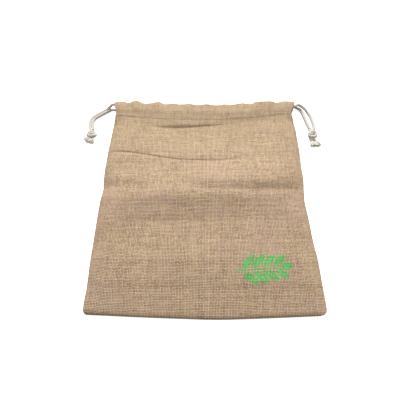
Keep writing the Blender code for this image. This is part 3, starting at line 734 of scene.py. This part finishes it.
class Shade:
    """One material, with short calls for the nodes that the recipes below use."""

    def __init__(self, name, roughness):
        self.material = bpy.data.materials.new(name)
        self.material.use_nodes = True
        self.tree = self.material.node_tree
        self.shader = self.tree.nodes["Principled BSDF"]
        self.put(self.shader.inputs["Roughness"], roughness)
        self.put(self.shader.inputs["Specular IOR Level"], SPECULAR)

    def node(self, kind, inputs=(), **settings):
        made = self.tree.nodes.new("ShaderNode" + kind)
        for key, value in settings.items():
            setattr(made, key, value)
        for key, value in dict(inputs).items():
            self.put(made.inputs[key], value)
        return made

    def put(self, socket, value):
        if isinstance(value, Field):
            self.tree.links.new(value.out, socket)
        else:
            socket.default_value = value

    def field(self, kind, inputs=(), output=0, **settings):
        return Field(self, self.node(kind, inputs, **settings).outputs[output])

    def math(self, operation, *values):
        return self.field("Math", enumerate(values), operation=operation)

    def parts(self, vector):
        split = self.node("SeparateXYZ", {0: vector})
        return [Field(self, out) for out in split.outputs]

    def attribute(self, name, output="Vector"):
        return self.field("Attribute", output=output, attribute_name=name)

    def noise(self, x, y, detail=1.0):
        """Smooth noise from about -0.5 to 0.5, with patches about 1 across: a factor on x or y
        sets their size, and a number added to it only moves them."""
        place = self.field("CombineXYZ", {0: x, 1: y})
        inputs = {"Vector": place, "Scale": 1.0, "Detail": detail}
        return self.field("TexNoise", inputs, "Fac", noise_dimensions="2D") - 0.5

    def random(self, number):
        """A number from 0 to 1 for each whole number."""
        return self.field("TexWhiteNoise", {"W": number}, "Value", noise_dimensions="1D")

    def step(self, low, high, value):
        """0 up to low, 1 from high on, smooth in between."""
        inputs = {"Value": value, "From Min": low, "From Max": high}
        return self.field("MapRange", inputs, "Result", interpolation_type="SMOOTHSTEP")

    def mix(self, share, low, high):
        """A colour between low and high, through the node's sockets for colours."""
        return self.field("Mix", {0: share, 6: low, 7: high}, 2, data_type="RGBA")

    def darken(self, colour, share):
        """The colour times a share."""
        return self.field("VectorMath", {0: colour, "Scale": share}, operation="SCALE")

    def finish(self, colour, height, depth, **normal):
        """The material. Normal, where given, is the way that its faces look to the light."""
        self.put(self.shader.inputs["Base Color"], colour)
        inputs = {"Height": height, "Distance": depth, **normal}
        self.put(self.shader.inputs["Normal"], self.field("Bump", inputs, "Normal"))
        return self.material


# Colours of the jute
STRAW = (0.80, 0.585, 0.385, 1)
BROWN = (0.475, 0.315, 0.19, 1)
PINK = (0.70, 0.485, 0.36, 1)
YELLOW = (0.73, 0.55, 0.325, 1)
# painted shade: the dark, shadowed inside of the bag seen through the gaps of the weave
PAINTED_GAP_SHADE = (0.085, 0.052, 0.03, 1)
INK = (0.075, 0.60, 0.13)
# Weave: widths in yarns, heights from 0 in the gaps to 1 at the crossings
WANDER = 1.2  # how far the yarns of a patch wander together
SWAY = 0.3  # how far a yarn wanders on its own
YARN_HALF = 0.385  # half-width of a yarn
WARP_UNEVEN = 0.42  # how much that changes along the warp
WEFT_UNEVEN = 0.50
WEAVE_LEVEL = 0.56  # height half-way between two crossings
WEAVE_SWING = 0.44  # how far a yarn goes over and under
WEAVE_DEPTH = 0.5
GAP_EDGE = (0.02, 0.2)  # heights between the painted shade of a gap and a yarn
FLANK_LIGHT = 0.36  # light on the low flanks of a yarn
FLANK_EDGE = (0.12, 0.9)  # heights between the flanks and full light
# Lightness from 0, brown, to 1, straw, and how much each of these changes it
LIGHTNESS = 0.64
YARN_CHANGE = 0.45
STREAK_CHANGE = 1.5
SLUB_CHANGE = 0.5
CROSSING_CHANGE = 0.5
STREAK_DEPTH = 0.25
# Stretches of dark weft, and the band up the cloth where they are darkest
DARK_STRETCH = (0.04, 0.2)
DARK_CHANGE = 0.12
DARK_BAND_CHANGE = 0.38
DARK_BAND_START = (70.0, 125.0)
DARK_BAND_END = (175.0, 200.0)
# Tints, and a painted warm shade at the bottom seam: the noise levels or heights between none and all
# of one, and its share
PINK_PATCH = (-0.12, 0.2)
PINK_SHARE = 0.5
YELLOW_PATCH = (0.0, 0.25)
YELLOW_UP = (170.0, 330.0)
YELLOW_SHARE = 0.4
# painted warm shade: browner where the cloth turns down to the bottom seam, away from the light
BOTTOM_WARM_SHADE_UP = (0.0, 26.0)
BOTTOM_WARM_SHADE_SHARE = 0.25
# Shade at the bottom seam, which reaches further up at the left corner
BOTTOM_LIGHT = 0.48
BOTTOM_SHADE = (-1.0, 5.0)
LEFT_CORNER = (-145.0, -90.0)
LEFT_CORNER_SHADE = 6.0
# The stitches draw the cloth in, most at their ends
PULL_REACH = (0.5, 2.2)  # from the line of stitches
PULL_ENDS = (0.05, 0.4)  # shares of a stitch from its middle
PULL_SLACK = 0.35  # what the slackest stitches pull
PULL_PATCH = (-0.1, 0.25)
PULL_SHADE = 0.45
PULL_DEPTH = 0.8
# The stencilled sprig: a stem with leaves on both sides
PRINT_PLACE = (41.0, 60.5)  # the stem's foot on the flat cloth
PRINT_TILT = math.radians(6)
STEM_HALF = 0.95
STEM_LENGTH = 56.0
LEAF_PAIRS = 4
LEAF_START = 2.0
LEAF_PITCH = 14.0
LEAF_SLANT = 0.75  # way along the stem for each step out from it
LEAF_SQUARE = 0.8  # width across a leaf for each step along the stem
LEAF_OUT = 1.9  # from the stem's middle to a leaf's start
LEAF_LENGTH = 19.0
LEAF_SHORTER = 1.4  # how much shorter each further pair is
LEAF_HALF = 5.0
LEAF_POINT = 0.7  # the less, the blunter the leaves
LEAF_VEIN = 0.3  # half-width of the bare line along a leaf
TIP_START = 58.0
TIP_LENGTH = 15.0
# Wear of the print: noise levels and heights between bare and printed
WORN = (-0.22, -0.08)
INK_REACH = (0.15, 0.4)
INK_SHARE = 0.92
# painted light on the ink: darker on the yarns' flanks, lighter on their crowns
INK_LIGHT = 0.75
INK_LIT = 0.5
INK_EDGE = (0.3, 0.9)


def weave(s, u, v):
    """The yarns at a place on the cloth: the numbers of the warp and the weft yarn, the height
    of the upper one, and 1 where that is the warp."""
    x = u / WARP_PITCH + s.noise(u * 0.03, v * 0.012) * WANDER
    y = v / WEFT_PITCH + s.noise(u * 0.012 + 7.3, v * 0.03) * WANDER
    column, row = s.math("FLOOR", x), s.math("FLOOR", y)
    a = x - column - 0.5 + s.noise(column * 2.17, v * 0.16) * SWAY
    b = y - row - 0.5 + s.noise(u * 0.16, row * 2.31) * SWAY
    over = s.math("FRACT", (column + row) * 0.5) * 4 - 1  # 1 where the warp goes over, or -1
    warp_half = YARN_HALF + s.noise(column * 3.71, v * 0.05) * WARP_UNEVEN
    weft_half = YARN_HALF + s.noise(u * 0.05, row * 3.37 + 40) * WEFT_UNEVEN
    warp_round = s.math("SQRT", s.math("MAXIMUM", 1 - (a / warp_half) ** 2, 0))
    weft_round = s.math("SQRT", s.math("MAXIMUM", 1 - (b / weft_half) ** 2, 0))
    warp = warp_round * (WEAVE_LEVEL + over * s.math("COSINE", b * math.pi) * WEAVE_SWING)
    weft = weft_round * (WEAVE_LEVEL - over * s.math("COSINE", a * math.pi) * WEAVE_SWING)
    return column, row, s.math("MAXIMUM", warp, weft), warp > weft


def yarn_colour(s, u, v, column, row, warp_on_top):
    """Colour of the upper yarn in full light, with painted warm shade towards the bottom seam, and
    the streaks of its fibres.
    """

    def upper(weft, warp):
        return weft + (warp - weft) * warp_on_top

    streak = upper(s.noise(u * 0.22, v * 1.9, 3), s.noise(u * 1.9, v * 0.22, 3))
    own = upper(s.random(row + 0.5), s.random(column)) - 0.5
    slub = upper(s.noise(u * 0.06, row * 5.1), s.noise(column * 5.3, v * 0.06))
    crossing = s.random(column * 57.31 + row * 131.7) - 0.5
    lightness = LIGHTNESS + own * YARN_CHANGE + streak * STREAK_CHANGE
    lightness = lightness + slub * SLUB_CHANGE + crossing * CROSSING_CHANGE
    band = s.step(*DARK_BAND_START, v) * (1 - s.step(*DARK_BAND_END, v))
    dark = s.step(*DARK_STRETCH, s.noise(u * 0.02 + 21, row * 1.37)) * (1 - warp_on_top)
    lightness = lightness - dark * (DARK_CHANGE + DARK_BAND_CHANGE * band)
    colour = s.mix(s.step(0, 1, lightness), BROWN, STRAW)
    patch = s.noise(u * 0.016 + 3, v * 0.016 + 5, 2)
    colour = s.mix(s.step(*PINK_PATCH, patch) * PINK_SHARE, colour, PINK)
    colour = s.mix(s.step(*YELLOW_UP, v) * YELLOW_SHARE, colour, YELLOW)
    tint = s.noise(u * 0.04 + 11, v * 0.04 + 17, 2)
    colour = s.mix(s.step(*YELLOW_PATCH, tint) * YELLOW_SHARE, colour, YELLOW)
    # painted warm shade, browner towards the bottom seam
    return s.mix((1 - s.step(*BOTTOM_WARM_SHADE_UP, v)) * BOTTOM_WARM_SHADE_SHARE, colour, BROWN), streak


def yarn_light(s, u, v, height):
    """Light on the cloth: less on the flanks of the yarns and where it turns under."""
    lit = FLANK_LIGHT + (1 - FLANK_LIGHT) * s.step(*FLANK_EDGE, height)
    corner = 1 - s.step(*LEFT_CORNER, u)
    above_shade = s.step(BOTTOM_SHADE[0], BOTTOM_SHADE[1] + corner * LEFT_CORNER_SHADE, v)
    return lit * (BOTTOM_LIGHT + (1 - BOTTOM_LIGHT) * above_shade)


def print_mark(s, u, v):
    """1 inside a stencilled sprig of leaves: a stem, pairs of leaves and one at the tip."""
    du, dv = u - PRINT_PLACE[0], v - PRINT_PLACE[1]
    along = du * math.cos(PRINT_TILT) + dv * math.sin(PRINT_TILT)
    out = s.math("ABSOLUTE", dv * math.cos(PRINT_TILT) - du * math.sin(PRINT_TILT))

    def blade(share):
        return s.math("MAXIMUM", share * (1 - share) * 4, 0) ** LEAF_POINT * LEAF_HALF

    pairs = (along - out * LEAF_SLANT - LEAF_START) / LEAF_PITCH
    pair = s.math("FLOOR", pairs)
    from_vein = s.math("ABSOLUTE", pairs - pair - 0.5) * (LEAF_PITCH * LEAF_SQUARE)
    leaf = blade((out - LEAF_OUT) / (LEAF_LENGTH - pair * LEAF_SHORTER)) > from_vein
    leaf = leaf * (from_vein > LEAF_VEIN) * (pairs > 0) * (LEAF_PAIRS - pairs > 0)
    tip = blade((along - TIP_START) / TIP_LENGTH) > out
    stem = (STEM_HALF - out > 0) * (along > 0) * (STEM_LENGTH - along > 0)
    return s.math("MINIMUM", leaf + stem + tip, 1)


def printed_over(s, u, v, height, colour):
    """The cloth's colour with the worn print on it."""
    printed = s.step(*WORN, s.noise(u * 0.35, v * 0.35, 2)) * s.step(*INK_REACH, height)
    # painted light on the ink, by the height of the yarn under it
    ink = s.darken(INK, INK_LIGHT + INK_LIT * s.step(*INK_EDGE, height))
    return s.mix(print_mark(s, u, v) * printed * INK_SHARE, colour, ink)


def seam_pull(s, u, seam):
    """How much the stitches of a casing draw the cloth in, from 0 to 1."""
    from_middle = s.math("ABSOLUTE", s.math("FRACT", u / STITCH) - 0.5)
    slack = PULL_SLACK + (1 - PULL_SLACK) * s.step(*PULL_PATCH, s.noise(u * 0.03 + 2, 0))
    near = 1 - s.step(*PULL_REACH, s.math("ABSOLUTE", seam))
    return near * s.step(*PULL_ENDS, from_middle) * slack


def jute(name, printed):
    """Plain weave of uneven single jute yarns, on the cloth's own coordinates."""
    s = Shade(name, roughness=0.9)
    seam = s.attribute("seam", "Fac")
    u, v, _ = s.parts(s.attribute("cloth"))
    column, row, height, warp_on_top = weave(s, u, v)
    colour, streak = yarn_colour(s, u, v, column, row, warp_on_top)
    lit_colour = s.darken(colour, yarn_light(s, u, v, height))
    # painted shade in the gaps between the yarns
    colour = s.mix(1 - s.step(*GAP_EDGE, height), lit_colour, PAINTED_GAP_SHADE)
    if printed:
        colour = printed_over(s, u, v, height, colour)
    pull = seam_pull(s, u, seam)
    colour = s.darken(colour, 1 - pull * PULL_SHADE)
    return s.finish(colour, height + streak * STREAK_DEPTH - pull * PULL_DEPTH, WEAVE_DEPTH * MM)


COTTON = (0.73, 0.67, 0.595, 1)
COTTON_SHADE = (0.69, 0.63, 0.56, 1)
# the frayed tips' own yellow, made lighter too as painted light against the shade among their yarns
COTTON_TIP_YELLOW_AND_LIT = (0.95, 0.87, 0.72, 1)
THREAD_LIGHT = (0.60, 0.44, 0.29, 1)
THREAD_SHADE = (0.46, 0.32, 0.20, 1)
FIBRE_PATCH = (-0.3, 0.35)  # noise levels between the shaded and the light colour
FIBRE_DEPTH = 0.25
FIBRE_LIFT = 2.0  # how strongly the loose fibres turn the shading upwards
GROOVE_LIGHT = 0.92  # light in the grooves between the plies
GROOVE_EDGE = (0.0, 0.6)
TIP_EDGE = (1.3, 2.0)  # bulges between a cord's colour and its frayed tip's
TIP_SHARE = 0.8


def cotton(name, light, shade, tip):
    """Soft twisted cotton, on the cord's own coordinates; a frayed tip has a bulge above 1.
    Its loose fibres pass light round the cord, so that its sides are lit almost as its top is."""
    s = Shade(name, roughness=0.85)
    along, ply, bulge = s.parts(s.attribute("cord"))
    fibre = s.noise(along * 0.35, ply * 1.4, 3)
    colour = s.mix(s.step(*FIBRE_PATCH, fibre), shade, light)
    colour = s.darken(colour, GROOVE_LIGHT + (1 - GROOVE_LIGHT) * s.step(*GROOVE_EDGE, bulge))
    # frayed tips: their own yellow, lightened as painted light
    colour = s.mix(s.step(*TIP_EDGE, bulge) * TIP_SHARE, colour, tip)
    face = s.field("NewGeometry", output="Normal")
    raised = s.field("VectorMath", {0: face, 1: (0.0, 0.0, FIBRE_LIFT)}, operation="ADD")
    even = s.field("VectorMath", {0: raised}, operation="NORMALIZE")
    return s.finish(colour, fibre, FIBRE_DEPTH * MM, Normal=even)


# ---------- stage, light and camera

CAMERA_PLACE = (-0.00423, -0.33714, 0.52608)
CAMERA_PITCH = math.radians(57.91)  # below the horizon
CAMERA_YAW = math.radians(0.3124)
CAMERA_ROLL = math.radians(-0.2597)
SENSOR = 36.0
FOCAL_LENGTH = 38.61


def add_camera():
    data = bpy.data.cameras.new("camera")
    data.sensor_width = SENSOR
    data.lens = FOCAL_LENGTH
    obj = add_object("camera", data)
    turn = Matrix.Rotation(CAMERA_YAW, 4, "Z") @ Matrix.Rotation(math.pi / 2 - CAMERA_PITCH, 4, "X")
    turn = turn @ Matrix.Rotation(CAMERA_ROLL, 4, "Z")
    obj.matrix_world = Matrix.Translation(CAMERA_PLACE) @ turn
    bpy.context.scene.camera = obj


FLOOR_HALF = 6.0
FLOOR_HEIGHT = -0.2 * MM  # just under the lowest cloth
FLOOR_COLOUR = (0.93, 0.935, 0.93, 1)
FLOOR_GLOW = 0.70  # what the overexposed backdrop adds
WORLD_STRENGTH = 0.63
KEY_PLACE = (0.0, 1.994, 0.93)
KEY_SIZE = 0.9
KEY_POWER = 67.0


def add_floor():
    mesh = bpy.data.meshes.new("floor")
    signs = ((-1, -1), (1, -1), (1, 1), (-1, 1))
    corners = [(x * FLOOR_HALF, y * FLOOR_HALF, FLOOR_HEIGHT) for x, y in signs]
    mesh.from_pydata(corners, [], [(0, 1, 2, 3)])
    s = Shade("floor", roughness=0.9)
    s.put(s.shader.inputs["Base Color"], FLOOR_COLOUR)
    s.put(s.shader.inputs["Emission Color"], (1, 1, 1, 1))
    glow = s.field("LightPath", output="Is Camera Ray") * FLOOR_GLOW
    s.put(s.shader.inputs["Emission Strength"], glow)
    mesh.materials.append(s.material)
    add_object("floor", mesh)


def add_light():
    world = bpy.data.worlds.new("studio")
    world.use_nodes = True
    background = world.node_tree.nodes["Background"]
    background.inputs["Color"].default_value = (1.0, 1.0, 1.0, 1)
    background.inputs["Strength"].default_value = WORLD_STRENGTH
    bpy.context.scene.world = world
    data = bpy.data.lights.new("key", "AREA")
    data.energy = KEY_POWER
    data.size = KEY_SIZE
    obj = add_object("key", data)
    obj.location = KEY_PLACE
    obj.rotation_euler = (-Vector(KEY_PLACE)).to_track_quat("-Z", "Y").to_euler()


# ---------- the scene


def place(obj, slot, *nodes):
    """Puts a piece on the root body and hides the model's nodes that it replaces. slot is not used.
    """
    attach(obj, "root")
    if nodes:
        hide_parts(*nodes)
    return obj


def add_strand(node, whole, knot_start, mat):
    """A free strand up to its knot."""
    part = slice(0, knot_start)
    rope = cord_object(node + "_rope", [rope_mesh(whole, part, free=True)], mat)
    obj = place(rope, "cotton_cord", node)


def add_pair(nodes, knot_node, routes, size, shift, tails, length, mat):
    """Two free strands and the knot and frayed tails that they share."""
    random = np.random.default_rng(len(knot_node))
    pair = tied_pair(routes, size, shift, tails, length)
    meshes = []
    for whole, knot_start in pair:
        fray_start = len(whole) - round(FRAY / ROPE_STEP)
        meshes.append(rope_mesh(whole, slice(knot_start - 1, fray_start), free=True))
        meshes += frayed_end(whole, random)
    knot = place(cord_object(knot_node + "_tied", meshes, mat), "cotton_cord", knot_node)
    for node, (whole, knot_start) in zip(nodes, pair):
        add_strand(node, whole, knot_start, mat)


def add_cords():
    mat = cotton("cotton", COTTON, COTTON_SHADE, COTTON_TIP_YELLOW_AND_LIT)
    left_outer = beside(LEFT_ROUTE, -STRAND_APART / 2)
    left_inner = beside(LEFT_ROUTE, STRAND_APART / 2)
    left = (
        strand_route("front", "upper", -1, LEFT_FRONT_DROP, left_outer),
        strand_route("back", "lower", -1, LEFT_BACK_DROP, left_inner),
    )
    nodes = ("cord_left_front", "cord_left_back")
    add_pair(nodes, "knot_left", left, KNOT_LEFT, CORD, LEFT_TAILS, LEFT_TIED, mat)
    right = (
        strand_route("front", "lower", 1, RIGHT_FRONT_DROP, RIGHT_OUTER_ROUTE),
        strand_route("back", "upper", 1, RIGHT_BACK_DROP, RIGHT_INNER_ROUTE),
    )
    nodes = ("cord_right_front", "cord_right_back")
    add_pair(nodes, "knot_right", right, KNOT_RIGHT, -CORD, RIGHT_TAILS, RIGHT_TIED, mat)
    runs = (("drawcord_left", -RUN_END, "upper"), ("drawcord_right", RUN_END, "lower"))
    for node, side, line in runs:
        path = spline_points(casing_run(side, line), 2 * ROPE_STEP)
        place(cord_object(node + "_rope", [rope_mesh(path)], mat), "cotton_cord", node)


def add_panels():
    shares = column_shares()
    sides = np.array([mouth_side(share) for share in shares])
    front_stitches = across(FRONT_STITCHES, sides)
    back_stitches = across(BACK_MOUTH, sides) - SINK_END
    middle_ups, _ = fold_lines(0.0)
    front_grid = np.stack([front_column(share, middle_ups) for share in shares], 1)
    back_grid = np.stack([back_column(share) for share in shares], 1)
    front_mat, back_mat = jute("jute_front", True), jute("jute_back", False)
    front = sheet_object("front_cloth", front_grid, front_stitches, front_mat)
    back = sheet_object("back_cloth", back_grid, back_stitches, back_mat, flip=True)
    place(front, "jute", "front_panel")
    place(back, "jute", "back_panel")
    thread = cotton("thread", THREAD_LIGHT, THREAD_SHADE, THREAD_LIGHT)
    line = surface_line(front_grid, FRONT_SEWN_ROWS, front_stitches, 1)
    sewing = place(cord_object("front_stitches", stitch_meshes(line, 1), thread), "jute")
    line = surface_line(back_grid, BACK_SEWN_ROWS, back_stitches, -1)
    back_sewing = place(cord_object("back_stitches", stitch_meshes(line, -1), thread), "jute")


def build():
    bpy.context.scene.view_settings.view_transform = "Standard"
    add_camera()
    add_floor()
    add_light()
    add_cords()
    add_panels()


build()
